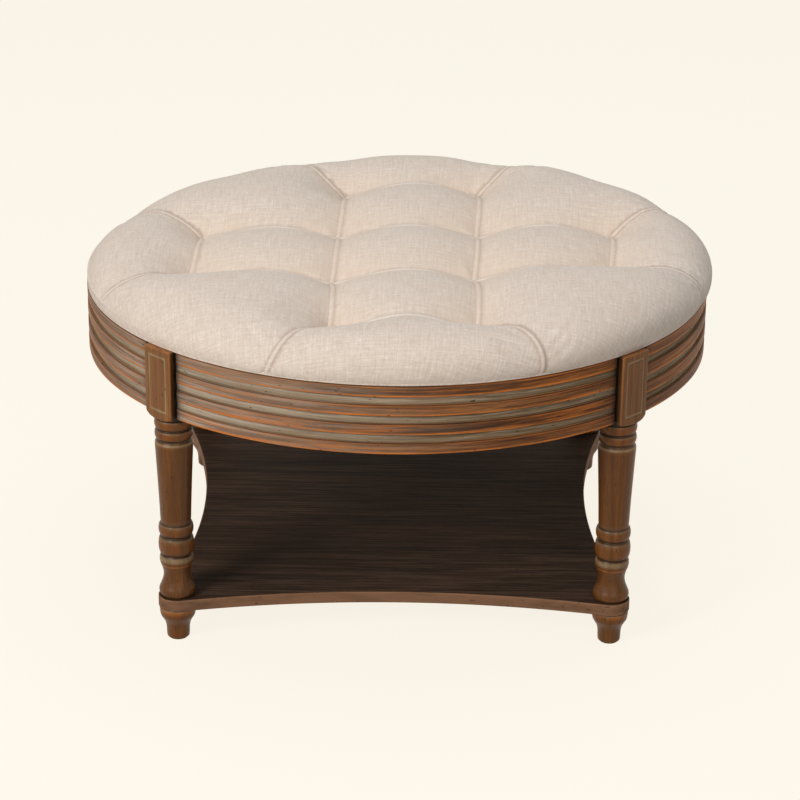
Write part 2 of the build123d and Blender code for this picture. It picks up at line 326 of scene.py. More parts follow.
brown_wood = aged_wood(
    "brown_strip_wood", rgb(60, 34, 18), rgb(109, 66, 34), rgb(148, 99, 59),
    rgb(202, 118, 50), rgb(181, 163, 144), patches=0.55, wash=1.0, uneven=0.33, fineness=1.4,
    least_rub=0.3, gloss=0.15)
grey_wood = aged_wood(
    "grey_washed_wood", rgb(82, 64, 45), rgb(131, 112, 88), rgb(180, 163, 140),
    rgb(142, 98, 62), rgb(206, 194, 177), patches=0.35, wash=1.0, uneven=0.4, fineness=1.5,
    roughness=0.65, gloss=0.12)
post_wood = aged_wood(
    "post_wood", rgb(98, 61, 33), rgb(125, 81, 44), rgb(139, 94, 54),
    rgb(184, 116, 56), rgb(136, 106, 76), patches=0.2, wash=0.2, roughness=0.45, gloss=0.18)
leg_wood = aged_wood(
    "leg_wood", rgb(82, 46, 14), rgb(98, 58, 18), rgb(110, 67, 26),
    rgb(164, 92, 30), rgb(112, 82, 46), patches=0.15, wash=0.2, roughness=0.38, gloss=0.25)
shelf_wood = aged_wood(
    "espresso_wood", rgb(36, 26, 20), rgb(55, 40, 31), rgb(80, 60, 47),
    rgb(158, 117, 88), rgb(108, 88, 73), patches=0.03, wash=0.45, fineness=1.5, least_rub=0.62,
    roughness=0.65, gloss=0.05)
linen_cloth = linen()
felt = plain_cloth("felt", rgb(58, 50, 44), rgb(92, 82, 72), 900)


# Meshes

def show(name, data):
    """A new object in the scene."""
    made = bpy.data.objects.new(name, data)
    bpy.context.scene.collection.objects.link(made)
    return made


def cycle(count):
    """Pairs of neighbours round a closed ring."""
    return [(place, (place + 1) % count) for place in range(count)]


def chain(count):
    """Pairs of neighbours along an open row."""
    return [(place, place + 1) for place in range(count - 1)]


def arc(x, y, radius, degrees):
    """Places on a circle about (x, y), at each of these degrees from +X."""
    turns = [math.radians(value) for value in degrees]
    return [(x + radius * math.cos(turn), y + radius * math.sin(turn)) for turn in turns]


def circle(radius, count):
    """Evenly spread places round a circle about the origin."""
    turns = [2 * math.pi * step / count for step in range(count)]
    return [(radius * math.cos(turn), radius * math.sin(turn)) for turn in turns]


def leftwards(ahead):
    """Unit directions square to these flat ones, to their left."""
    ahead = ahead / np.linalg.norm(ahead, axis=1)[:, None]
    return np.column_stack([-ahead[:, 1], ahead[:, 0]])


def skin(rows, ring):
    """Quads round a tube of so many rows, each a ring of so many points."""
    return [(a * ring + c, a * ring + d, b * ring + d, b * ring + c)
            for a, b in chain(rows) for c, d in cycle(ring)]


def closed_skin(rows, ring):
    """Such a tube with a face over each end."""
    last = (rows - 1) * ring
    return skin(rows, ring) + [tuple(range(ring))[::-1], tuple(range(last, last + ring))]


def piece(name, points, faces, material, slot, nodes, sharp_degrees=40, **attributes):
    """A shown piece of the table, with the values at its points that its material reads."""
    mesh = bpy.data.meshes.new(name)
    mesh.from_pydata((np.asarray(points) * MM).tolist(), [], faces)
    mesh.validate()
    for key, values in attributes.items():
        values = np.asarray(values, dtype=np.float32)
        kind, field = ("FLOAT_VECTOR", "vector") if values.ndim == 2 else ("FLOAT", "value")
        mesh.attributes.new(key, kind, "POINT").data.foreach_set(field, values.ravel())
    mesh.materials.append(material)
    mesh.shade_smooth()
    mesh.set_sharp_from_angle(angle=math.radians(sharp_degrees))
    shown = show(name, mesh)
    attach(shown, "root")
    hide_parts(*nodes)
    return shown


def wander(count, size, step):
    """A slow random wave: one value a point, at most size either way."""
    knots = max(4, count // step)
    values = noise_source.uniform(-size, size, knots)
    return np.interp(np.linspace(0, knots - 1, count), np.arange(knots), values)


# Drum: a section's rows are (radius, level, rub, grime and painted shade, glaze and painted
# highlight)

bar_step = 7
# How far painted shade and grime reach from a bar's end
end_dirt_reach = 6
# How rubbed a strip's two rounded edges are, and how dark with grime and painted shade, step by
# step upwards
lower_edge_marks = [(0, 0.8), (0, 0.8), (0.6, 0.4), (1, 0.1), (1, 0)]
upper_edge_marks = [(0.1, 0.8), (0.1, 0.85), (0.2, 0.6), (0.3, 0.2), (0.2, 0)]


def strip_outline(bottom, top):
    """A strip's section, its outer corners eased."""
    outer = drum_radius
    inner = outer - strip_thickness
    ease = strip_round
    lower = arc(outer - ease, bottom + ease, ease, (-90, -67.5, -45, -22.5, 0))
    upper = arc(outer - ease, top - ease, ease, (0, 22.5, 45, 67.5, 90))
    # Painted shade and grime darken the back corners, the lower edge's underside and the top edge's
    # front
    rows = [(inner, bottom + strip_back_round, 0, 0.5, 0),
            (inner + strip_back_round, bottom, 0, 0.3, 0), (outer - 1.6 * ease, bottom, 0.3, 0, 0)]
    rows += [(*place, *marks, 0) for place, marks in zip(lower, lower_edge_marks)]
    rows += [(outer, bottom + 2.1 * ease, 0.8, 0, 0), (outer, bottom + 3.8 * ease, 0, 0, 0)]
    rows += [(outer, bottom + share * (top - bottom), 0, 0, 0) for share in (0.45, 0.6, 0.7)]
    rows += [(outer, top - 3.4 * ease, 0, 0, 0), (outer, top - 2.3 * ease, 0.6, 0, 0),
             (outer, top - 1.5 * ease, 0.3, 0.4, 0)]
    rows += [(*place, *marks, 0) for place, marks in zip(upper, upper_edge_marks)]
    # The top face is glazed pale: partly a painted highlight where it faces the light from above
    rows += [(outer - 1.7 * ease, top, 0, 0, 0.6), (inner + strip_back_round, top, 0, 0.1, 0.8),
             (inner, top - strip_back_round, 0, 0.5, 0)]
    return rows


def panel_outline():
    """The panel's section: grime and painted shadow sit along the strips' edges and at its top and
    bottom, paler paint above each strip.
    """
    outer = drum_radius - strip_thickness
    inner = outer - panel_thickness
    rows = [(inner, drum_bottom + 0.6, 0, 0.5, 0), (inner + 0.4, drum_bottom + 0.2, 0, 0.3, 0),
            (outer - 0.5, drum_bottom + 0.2, 0, 0.3, 0), (outer, drum_bottom + 0.7, 0, 0.5, 0)]
    for row in range(4, 0, -1):
        strip_bottom, strip_top = levels(f"strip_row_{row}")
        if row < 4:
            # Painted shadow under each strip's lower edge
            rows += [(outer, strip_bottom - drop, 0, dirt, 0)
                     for drop, dirt in ((2.2, 0), (1.3, 0.3), (0.5, 0.85))]
        if row > 1:
            rows += [(outer, strip_top + rise, 0, dirt, glaze)
                     for rise, dirt, glaze in ((0.2, 0.3, 0), (0.7, 0, 0.7), (3.4, 0, 0.25))]
    # Darker along the top, under the cushion, and along the bottom: painted shade
    rows += [(outer, drum_top - 0.5, 0, 0.5, 0), (outer - 0.5, drum_top, 0, 0.6, 0),
             (inner + 0.4, drum_top, 0, 0.6, 0), (inner, drum_top - 0.4, 0, 0.6, 0)]
    return rows


def wash_at(angle):
    """How strongly the pale wash shows at an angle round the drum, from 0 to 1."""
    return (0.47 + 0.53 * math.cos(2 * (angle - palest_direction))) ** 3


def bent_bar(name, outline, middle, half_angle, material, slot, nodes, waviness):
    """A bar bent round the table's axis, with closed ends darkened by grime and by painted shade in
    the gap beside the posts.
    """
    length = 2 * half_angle * drum_radius
    stations = int(length / bar_step)
    angles = np.linspace(middle - half_angle, middle + half_angle, stations)
    radii, heights, rubs, dirts, glazes = np.array(outline).T
    wave_out = wander(stations, waviness, 9)
    wave_up = wander(stations, waviness, 7)
    points, grain, rub, dirt, glaze, washed = [], [], [], [], [], []
    start = random.uniform(0, 40)
    for place, angle in enumerate(angles):
        from_end = min(place, stations - 1 - place) * length / stations
        # Painted shade and grime darken the ends in the gap beside the posts
        end_dirt = 0.85 * math.exp(-from_end / end_dirt_reach)
        radius = radii + wave_out[place] * (rubs + 0.4)
        height = heights + wave_up[place] * rubs
        points += list(zip(radius * math.cos(angle), radius * math.sin(angle), height))
        along = start + (angle - middle) * drum_radius * MM
        grain += [(along, row[1] * MM, row[0] * MM) for row in outline]
        rub += list(rubs * (1 - end_dirt))
        dirt += list(np.maximum(dirts, end_dirt))
        glaze += list(glazes)
        washed += [wash_at(angle)] * len(outline)
    *quads, first, last = closed_skin(stations, len(outline))
    faces = [*quads, first[::-1], last[::-1]]
    piece(name, points, faces, material, slot, nodes,
          grain=grain, rub=rub, dirt=dirt, glaze=glaze, washed=washed)


def half_angle_beside_post(radius, setback):
    """Half the angle that a bar covers between two posts."""
    return math.pi / 4 - math.asin(setback / radius)


def make_drum():
    panel_half = half_angle_beside_post(drum_radius - strip_thickness, block_width / 2)
    strip_half = half_angle_beside_post(drum_radius, block_width / 2 + strip_end_gap)
    for side, middle in sides.items():
        bent_bar("panel_" + side, panel_outline(), middle, panel_half, grey_wood,
                 "grey_washed_wood", ["apron_panel_" + side], 0.0)
        for row in range(1, 5):
            node = f"strip_row_{row}"
            bent_bar(f"strip_{side}_{row}", strip_outline(*levels(node)), middle, strip_half,
                     brown_wood, "distressed_brown_wood", [node], strip_waviness)


# Posts and turned legs, drawn about a leg's own axis with +X outwards

def place_at_corner(points, angle):
    """Such points moved to a corner."""
    points = np.asarray(points, dtype=float)
    x = points[:, 0] + leg_circle_radius
    y = points[:, 1]
    return np.column_stack([x * math.cos(angle) - y * math.sin(angle),
                            x * math.sin(angle) + y * math.cos(angle), points[:, 2]])


def beside_line(start):
    """Places close about both edges of an inlaid line that starts here."""
    return [edge + beside for edge in (start, start + inlay_line_width)
            for beside in (-0.5, 0, 0.5)]


def post_levels():
    """Levels of the post block's rings, closer at its ends and at the inlaid line."""
    line_top = drum_top - inlay_top_margin
    line_bottom = line_top - inlay_height
    rows = [block_bottom + rise for rise in (0, 0.3, 0.9, 1.8, 3, 4.5, 6.3, 8.3, 10.5, 13)]
    rows += beside_line(line_bottom) + beside_line(line_top - inlay_line_width)
    rows += list(np.linspace(line_bottom + 8, line_top - 8, 9))
    rows += [drum_top - drop for drop in (post_top_round, 1.0, 0.5, 0.15, 0)]
    return sorted(rows)


def post_ring():
    """Places round the block as (x, y, outside): 1 on its outer face, 0.5 on that face's edges."""
    half = block_width / 2
    ease = post_edge_round
    inner_x = block_face_radius - block_depth - leg_circle_radius
    marks = beside_line(-inlay_width / 2) + beside_line(inlay_width / 2 - inlay_line_width)
    marks += [-half + ease, -half + 1.8 * ease, -9, -4.5, 0, 4.5, 9, half - 1.8 * ease, half - ease]
    ring = [(math.sqrt(block_face_radius ** 2 - y ** 2) - leg_circle_radius, y, 1)
            for y in sorted(marks)]
    outer_x = math.sqrt(block_face_radius ** 2 - half ** 2) - leg_circle_radius
    left = arc(outer_x - ease, half - ease, ease, (22.5, 45, 67.5))
    right = arc(outer_x - ease, -half + ease, ease, (-67.5, -45, -22.5))
    side = np.linspace(outer_x - 1.4 * ease, inner_x + ease, 9)
    ring += [(x, y, 0.5) for x, y in left]
    ring += [(x, half, 0) for x in side]
    ring += [(inner_x, y, 0) for y in np.linspace(half - ease, -half + ease, 9)]
    ring += [(x, -half, 0) for x in side[::-1]]
    ring += [(x, y, 0.5) for x, y in right]
    return ring


def in_inlay(y, height):
    """Whether a place on the outer face lies in the inlaid line."""
    middle = drum_top - inlay_top_margin - inlay_height / 2
    beyond = max(abs(y) - inlay_width / 2, abs(height - middle) - inlay_height / 2)
    return -inlay_line_width <= beyond <= 0


def make_post(corner, angle):
    """The square post over a leg, with a rounded shoulder below and a sunk, painted line."""
    heights = post_levels()
    ring = post_ring()
    points, grain, rub, dirt, glaze = [], [], [], [], []
    start = random.uniform(0, 30)
    for height in heights:
        rise = height - block_bottom
        share = min(1.0, rise / post_shoulder)
        limit = post_neck + (post_flare - post_neck) * math.sqrt(1 - (1 - share) ** 2)
        if rise > post_shoulder:
            limit = block_width
        drop = drum_top - height
        ease = post_top_round * (1 - math.sqrt(1 - max(0.0, 1 - drop / post_top_round) ** 2))
        for x, y, outside in ring:
            reach = math.hypot(x, y)
            kept = min(reach, limit) - ease
            sunk = outside == 1 and in_inlay(y, height)
            points.append((x * kept / reach - inlay_depth * sunk, y * kept / reach, height))
            grain.append((start + height * MM, y * MM, x * MM))
            rub.append(0.35 if outside == 0.5 or drop < 1.2 else 0.0)
            glaze.append(0.95 * sunk)
            # The side and back faces darken away from the outer face: painted shade in the gap
            # beside the drum
            behind = block_face_radius - leg_circle_radius - x
            dirt.append(min(0.95, max(0.0, (behind - 0.5) / 5)) if outside == 0 else 0.0)
    piece("post_" + corner, place_at_corner(points, angle), closed_skin(len(heights), len(ring)),
          post_wood, "distressed_brown_wood", ["legs"], sharp_degrees=50,
          grain=grain, rub=rub, dirt=dirt, glaze=glaze)


# A turning's rows are (radius, level, rub, glaze, grime and painted shade)

def rows_at(base, rows):
    """Rows whose levels were given above a base."""
    return [(radius, base + rise, *marks) for radius, rise, *marks in rows]


def bead(bottom, top, root, crown):
    """A rounded ring of a turning, from its root to its crown and back."""
    rows = []
    for step in range(11):
        share = math.cos(math.pi * (1 - step / 10))
        height = (bottom + top) / 2 + share * (top - bottom) / 2
        radius = root + (crown - root) * math.sqrt(max(0.0, 1 - share ** 2))
        # Darker towards both roots of the bead: painted shade in the grooves between rings
        dirt = 0.7 * max(0.0, abs(share) - 0.72) / 0.28
        pale = 0.55 * math.exp(-((share - 0.78) / 0.16) ** 2)
        rows.append((radius, height, 0.25 if abs(share) < 0.6 else 0, pale, dirt))
    return rows


def smooth_run(base, knots, rub=0.0):
    """A smooth curve through (rise above the base, radius) knots."""
    heights = [base + rise for rise, _ in knots]
    radii = [radius for _, radius in knots]
    rows = []
    for step in np.linspace(0, len(knots) - 1, 6 * len(knots)):
        first = min(int(step), len(knots) - 2)
        share = step - first
        near = (max(first - 1, 0), first, first + 1, min(first + 2, len(knots) - 1))
        row = []
        for series in (radii, heights):
            a, b, c, d = (series[knot] for knot in near)
            row.append(0.5 * (2 * b + (c - a) * share + (2 * a - 5 * b + 4 * c - d) * share ** 2
                              + (3 * b - a - 3 * c + d) * share ** 3))
        rows.append((*row, rub, 0, 0))
    return rows


def leg_rows():
    """The leg's outline from the shelf up to the post."""
    foot = shelf_top
    # Darker where the leg meets the shelf: painted shade
    rows = rows_at(foot, [(0, 0, 0, 0, 1), (20.2, 0, 0, 0, 0.9), (21.6, 1.2, 0, 0, 0.5)])
    rows += smooth_run(foot, [(2.4, 22.7), (6, 24.1), (11, 23.9), (17, 21.4), (26, 18.4),
                              (35, 18.0), (45, 20.6)])
    # The grooves between the rings are darkened: painted shade
    rows += rows_at(foot, [
        (21.5, 46.8, 0.9, 0, 0), (21.8, 47.8, 1.0, 0, 0), (21.7, 48.8, 0.2, 0, 0.5),
        (22.2, 50.0, 0.3, 0, 0.2), (22.6, 51.8, 0, 0.1, 0), (22.7, 53.6, 0, 0.55, 0),
        (22.5, 56.4, 0, 0.75, 0), (22.0, 58.8, 0, 0.6, 0), (21.0, 60.4, 0, 0, 0.6),
        (20.0, 61.6, 0, 0.1, 0.75)])
    rows += bead(foot + 62.4, foot + 87.6, 20.4, 23.8)
    rows += rows_at(foot, [(19.8, 88.6, 0, 0.1, 0.75)])
    rows += bead(foot + 89.6, foot + 106.4, 20.2, 23.3)
    rows += rows_at(foot, [(19.9, 107.4, 0, 0.16, 0.5), (20.2, 109.4, 0, 0.15, 0.1),
                           (20.5, 114, 0, 0, 0)])
    shaft_bottom, shaft_top = foot + 119, foot + 218
    for share in np.linspace(0, 1, 12):
        swell = 20.7 + (25.2 - 20.7) * (share ** 1.15)
        rows.append((swell, shaft_bottom + share * (shaft_top - shaft_bottom), 0, 0, 0))
    rows += rows_at(foot, [
        (25.25, 221.4, 0.2, 0.1, 0), (25.1, 222.8, 0.2, 0.8, 0), (24.6, 224.2, 0, 0.7, 0),
        (23.8, 225.6, 0, 0.1, 0.2), (22.3, 228.2, 0, 0.1, 0.75)])
    rows += bead(foot + 229.2, foot + 242, 22.7, 25.2)
    rows += rows_at(foot, [(22.3, 243, 0, 0.1, 0.75)])
    rows += bead(foot + 244, foot + 257.6, 22.7, 25.4)
    # Darker up under the post block: painted shade
    rows += [(22.6, foot + 258.4, 0, 0.1, 0.8), (22.8, block_bottom + 0.5, 0, 0, 0.9),
             (0, block_bottom + 0.5, 0, 0, 1)]
    return rows


def foot_rows():
    """The foot's outline from the pad up to the shelf."""
    base = foot_bottom
    # Darker at the bottom, above the pad: painted shade
    rows = rows_at(base, [(0, 0, 0, 0, 0.6), (13.6, 0, 0.2, 0, 0.5), (14.8, 0.7, 0.5, 0, 0.1)])
    rows += smooth_run(base, [(2, 15.2), (8, 15.5), (14, 15.7), (19, 16.5), (23.4, 18.0),
                              (28, 20.6), (32.5, 23.1), (37, 24.0)], 0.08)
    # The top, close under the shelf, is darkened: painted shade
    rows += rows_at(base, [(24.3, 40, 0.6, 0, 0), (24.5, 43.4, 0.9, 0.2, 0),
                           (24.4, 44.3, 0.4, 0.6, 0), (23.9, 45.1, 0, 0, 0.8)])
    return rows + [(23.4, shelf_bottom, 0, 0, 1), (0, shelf_bottom, 0, 0, 1)]


def make_turning(name, rows, angle, nodes, start):
    """A turned piece on a leg's axis. Its end points on the axis are single points."""
    segments = 80
    ring_rows = rows[1:-1]
    placed = [(x, y, row) for row in ring_rows for x, y in circle(row[0], segments)]
    placed += [(0, 0, rows[0]), (0, 0, rows[-1])]
    points = [(x, y, row[1]) for x, y, row in placed]
    grain = [(start + row[1] * MM, y * MM, x * MM) for x, y, row in placed]
    rub, glaze, dirt = ([row[mark] for _, _, row in placed] for mark in (2, 3, 4))
    bottom, top = len(points) - 2, len(points) - 1
    last = bottom - segments
    faces = skin(len(ring_rows), segments)
    faces += [(bottom, b, a) for a, b in cycle(segments)]
    faces += [(top, last + a, last + b) for a, b in cycle(segments)]
    piece(name, place_at_corner(points, angle), faces, leg_wood, "distressed_brown_wood", nodes,
          sharp_degrees=60, grain=grain, rub=rub, glaze=glaze, dirt=dirt)


def make_pad(corner, angle):
    """The round felt pad under a foot, its rim a little frayed."""
    rows = [(11.6, 0.0), (12.4, 0.35), (12.8, 1.0), (12.7, foot_bottom)]
    segments = 48
    points = []
    for radius, height in rows:
        for x, y in circle(1.0, segments):
            frayed = radius + random.uniform(-0.15, 0.15) * (0 < height < foot_bottom)
            points.append((frayed * x, frayed * y, height))
    piece("pad_" + corner, place_at_corner(points, angle), closed_skin(len(rows), segments),
          felt, "felt", ["foot_pads"])


def make_legs():
    for corner, angle in corners.items():
        make_post(corner, angle)
        make_turning("leg_" + corner, leg_rows(), angle, ["legs"], random.uniform(0, 30))
        make_turning("foot_" + corner, foot_rows(), angle, ["feet"], random.uniform(0, 30))
        make_pad(corner, angle)


# Shelf

def hollow_arc(depth):
    """The front side's hollow arc as (x, y) points, and how far its ends lean."""
    radius = (leg_offset ** 2 + depth ** 2 - shelf_corner_radius ** 2) / (
        2 * (shelf_corner_radius + depth))
    centre = leg_offset - depth + radius
    lean = math.atan2(leg_offset, centre - leg_offset)
    turns = np.linspace(-lean, lean, 61)[:-1]
    return np.column_stack([radius * np.sin(turns), radius * np.cos(turns) - centre]), lean


def shelf_outline():
    """The shelf's outline: hollow arcs that run smoothly into round corners, as (x, y)."""
    arcs = [hollow_arc(shelf_front_hollow), hollow_arc(shelf_side_hollow)]
    outline = []
    for quarter in range(4):
        hollow, lean = arcs[quarter % 2]
        next_lean = arcs[(quarter + 1) % 2][1]
        turns = np.linspace(-math.pi / 2 - lean, next_lean, 25)[:-1]
        corner = np.column_stack([
            leg_offset + shelf_corner_radius * np.cos(turns),
            shelf_corner_radius * np.sin(turns) - leg_offset])
        swing = quarter * math.pi / 2
        spin = np.array([[math.cos(swing), math.sin(swing)], [-math.sin(swing), math.cos(swing)]])
        outline.append(np.vstack([hollow, corner]) @ spin)
    return np.vstack(outline)


def make_shelf():
    """The lower shelf, its edge rubbed pale. Rings are (inset, rise, rub)."""
    outline = shelf_outline()
    inwards = leftwards(np.roll(outline, -1, axis=0) - np.roll(outline, 1, axis=0))
    rings = [(5, 0, 0), (1.0, 0, 0.3), (0.3, 0.3, 0.9), (0, 1.0, 0.85), (0, 2.2, 0.75),
             (0, 8, 0.7), (0, 13.8, 0.75), (0, 15.0, 0.9), (0.3, 15.7, 1.0), (1.0, 16.0, 0.35),
             (2.0, 16.0, 0), (5, 16.0, 0)]
    points = np.array([(*place, shelf_bottom + rise)
                       for inset, rise, _ in rings for place in outline + inwards * inset])
    rub = [worn for _, _, worn in rings for _ in outline]
    piece("shelf_board", points, closed_skin(len(rings), len(outline)), shelf_wood,
          "espresso_wood", ["shelf"], grain=points * MM, rub=rub)


# Cushion

# Tufts, row by row from the back, as (x, y, depth below the crown)
tufts = [
    (-85, 281, 41), (114, 291, 41),
    (-285, 94, 41), (-90, 92, 45), (108, 95, 45), (301, 99, 41),
    (-288, -85, 41), (-94, -99, 45), (101, -88, 45), (288, -68, 41),
    (-92, -287, 41), (101, -282, 41),
]
# Straight seams between two tufts, by their places in the list, and their depth halfway
seam_rows = [(0, 1, 19), (2, 3, 25), (3, 4, 25), (4, 5, 25), (6, 7, 26), (7, 8, 26), (8, 9, 26),
             (10, 11, 17)]
seam_columns = [(2, 6, 24), (0, 3, 23), (3, 7, 24), (7, 10, 23), (1, 4, 23), (4, 8, 24),
                (8, 11, 23), (5, 9, 24)]
# Seams out to the rim: the tuft, and the direction of the rim's end in degrees from +X
rim_seams = [(0, 114), (1, 65), (2, 157), (5, 24), (6, 202), (9, -19), (10, 247.5), (11, -65)]
rim_seam_depth = 4.5
rim_seam_fade = 2.6
# Such a seam bends halfway between the tuft's diagonal and this radius
rim_bend_share = 0.36
rim_bend_radius = 383.5
# Across a lapped seam: (offset, how much deeper, how strong its stitched line and its lap are)
seam_section = [(-3.3, 0.5, 1.0, 0.0), (-2.4, -0.1, 0.1, 0.7), (0, -0.2, 0.0, 1.0),
                (2.4, -0.1, 0.1, 0.7), (3.3, 0.5, 1.0, 0.0)]
# The strength of a stitched line and a lap on each kind of seam, and at a tuft, where the darker
# line colour is painted shade in its hollow
row_marks = (0.15, 1.0)
column_marks = (0.6, 0.1)
rim_marks = (1.0, 0.2)
tuft_marks = (0.6, 0.0)
tuft_pull = 1.5  # how much deeper a tuft's own point lies
seam_step = 4.6
rim_step = 6.0
cover_step = 5.2
row_share = 0.866  # from one row of such steps to the next
# The cover between seams: how far a seam's pull is felt, and how far it swells, by radius
pull_lengths = ([0, 240, 330, 400, 480], [80, 80, 60, 45, 45])
swells = ([0, 230, 300, 350, 400, 480], [40, 40, 22, 6.0, 0.0, 0.0])
# The cover's smooth form: a low crown, then a shoulder down to its widest
crown_radius = 355.0
crown_fall = 7.0
shoulder_power = 2 / 1.87
widest_rise = 9.0
hem_radius = 431.0
# The cover leans over its hem: how far to +X, and its rise for each step to +X
cover_lean = 8.0
cover_tilt = 0.016
# Short folds round a tuft: how many, how far out and how wide they lie
pucker_folds = (5, 8, 11)
pucker_reach = 16
pucker_width = 13
# The dent behind each back tuft
dent_depth = 5.0
dent_distance = 75
dent_length = 55
dent_width = 34
# Where the back edge is filled less or more: (x, y, swell, width)
back_filling = [(-255, 300, -4.5, 55), (300, 275, -6.0, 60), (-150, 335, 4.0, 45),
                (176, 330, 3.2, 45)]
# The cloth simulation: its settings, frames, and how far a point may move
cloth_settings = {
    "quality": 1, "mass": 0.004, "tension_stiffness": 1.0, "compression_stiffness": 1.0,
    "shear_stiffness": 0.4, "bending_stiffness": 0.02, "vertex_group_mass": "held",
    "use_pressure": True, "uniform_pressure_force": 4.0,
}
cloth_frames = 20
cloth_cap = 4.0


def cushion_profile():
    """The cover's half section, as (distance along it, radius, level) from the middle out."""
    places = [(radius, cushion_top - crown_fall * (radius / crown_radius) ** 2)
              for radius in np.linspace(0, crown_radius, 40)]
    widest_level = drum_top + widest_rise
    drop = places[-1][1] - drum_top - widest_rise
    for turn in np.linspace(0, math.pi / 2, 40)[1:]:
        out, up = (value ** shoulder_power for value in (math.sin(turn), math.cos(turn)))
        places.append((crown_radius + (cushion_radius - crown_radius) * out,
                       widest_level + drop * up))
    for share in np.linspace(0, 1, 6)[1:]:
        places.append((cushion_radius - (cushion_radius - hem_radius) * share ** 1.5,
                       widest_level - share * (widest_rise - 1.4)))
    places += [(hem_radius - 0.7, drum_top + 0.6), (hem_radius - 2.4, drum_top + 0.35)]
    places = np.array(places)
    steps = np.hypot(*np.diff(places, axis=0).T)
    return np.column_stack([np.concatenate([[0], np.cumsum(steps)]), places])


profile = cushion_profile()
flat_edge = float(profile[-1, 0])


def on_form(flat):
    """Places and outward directions on the smooth form, for flat (x, y) points."""
    distance = np.hypot(*flat.T)
    direction = flat / np.maximum(distance, 1e-6)[:, None]

    def along_profile(shift, column):
        return np.interp(distance + shift, profile[:, 0], profile[:, column])

    radius_slope, height_slope = (
        along_profile(0.5, column) - along_profile(-0.5, column) for column in (1, 2))
    size = np.hypot(radius_slope, height_slope)
    out = -height_slope / size
    places = np.column_stack([direction * along_profile(0, 1)[:, None], along_profile(0, 2)])
    return places, np.column_stack([direction * out[:, None], radius_slope / size])


def seam_shares(start, end):
    """Even steps from 0 to 1 along a seam."""
    return np.linspace(0, 1, int(np.linalg.norm(end - start) / seam_step) + 1)


def seam_lines():
    """Each seam as flat points, depths, and how strongly its lines show."""
    lines = []
    centres = np.array(tufts, dtype=float)[:, :2]
    straight = [(*seam, row_marks) for seam in seam_rows]
    straight += [(*seam, column_marks) for seam in seam_columns]
    for first, last, middle, marks in straight:
        start, end = centres[first], centres[last]
        shares = seam_shares(start, end)
        arch = 0.45 * (2 * shares - 1) ** 2 + 0.275 * (1 + np.cos(2 * math.pi * shares))
        ends = tufts[first][2] * (1 - shares) + tufts[last][2] * shares
        lines.append((start + (end - start) * shares[:, None], middle + (ends - middle) * arch,
                      marks))
    for tuft, degrees in rim_seams:
        start = centres[tuft]
        turn = math.radians(degrees)
        out = np.array([math.cos(turn), math.sin(turn)])
        end = out * flat_edge
        diagonal = np.sign(start) * math.sqrt(0.5)
        bend = start + diagonal * rim_bend_share * np.linalg.norm(end - start)
        bend = 0.5 * bend + 0.5 * out * rim_bend_radius
        shares = seam_shares(start, end)
        curve = (start * (1 - shares[:, None]) ** 2 + 2 * bend * (shares * (1 - shares))[:, None]
                 + end * shares[:, None] ** 2)
        base = rim_seam_depth * (1 - 0.6 * shares ** 6)
        depths = base + (tufts[tuft][2] - base) * (1 - shares) ** rim_seam_fade
        lines.append((curve, depths, rim_marks))
    return lines


def cushion_points(lines):
    """Flat points for the cover: seams with their lap, the rim, and a filling between.

    Also the seams' edges, the depths that hold the cover (nan where free), and the seams' marks.
    """
    flat, edges, depths, marks = [], [], [], []
    for points, values, (line_strength, lap_strength) in lines:
        across = leftwards(np.gradient(points, axis=0))
        for offset, deeper, line, lap in seam_section:
            row = (points + offset * across)[1:-1]
            start = len(flat)
            flat.extend(map(tuple, row))
            depths.extend(values[1:-1] + deeper)
            marks.extend([(line * line_strength, lap * lap_strength)] * len(row))
            edges.extend((start + a, start + b) for a, b in chain(len(row)))
    for x, y, depth in tufts:
        flat.append((x, y))
        depths.append(depth + tuft_pull)
        marks.append(tuft_marks)
    seam_count = len(flat)
    around = int(2 * math.pi * flat_edge / rim_step)
    flat.extend(circle(flat_edge, around))
    edges.extend((seam_count + a, seam_count + b) for a, b in cycle(around))
    taken = KDTree(seam_count)
    for place in range(seam_count):
        taken.insert((*flat[place], 0), place)
    taken.balance()
    rows = int(flat_edge / (cover_step * row_share)) + 1
    for row in range(-rows, rows + 1):
        for column in range(-rows - 2, rows + 3):
            x = (column + 0.5 * (row % 2)) * cover_step + random.uniform(-0.4, 0.4)
            y = row * cover_step * row_share + random.uniform(-0.4, 0.4)
            if math.hypot(x, y) < flat_edge - 3.2 and taken.find((x, y, 0))[2] > 3.4:
                flat.append((x, y))
    fixed = np.full(len(flat), np.nan)
    fixed[:seam_count] = depths
    fixed[seam_count:seam_count + around] = 0.0
    lines_at = np.zeros((len(flat), 2))
    lines_at[:seam_count] = marks
    return flat, edges, fixed, lines_at


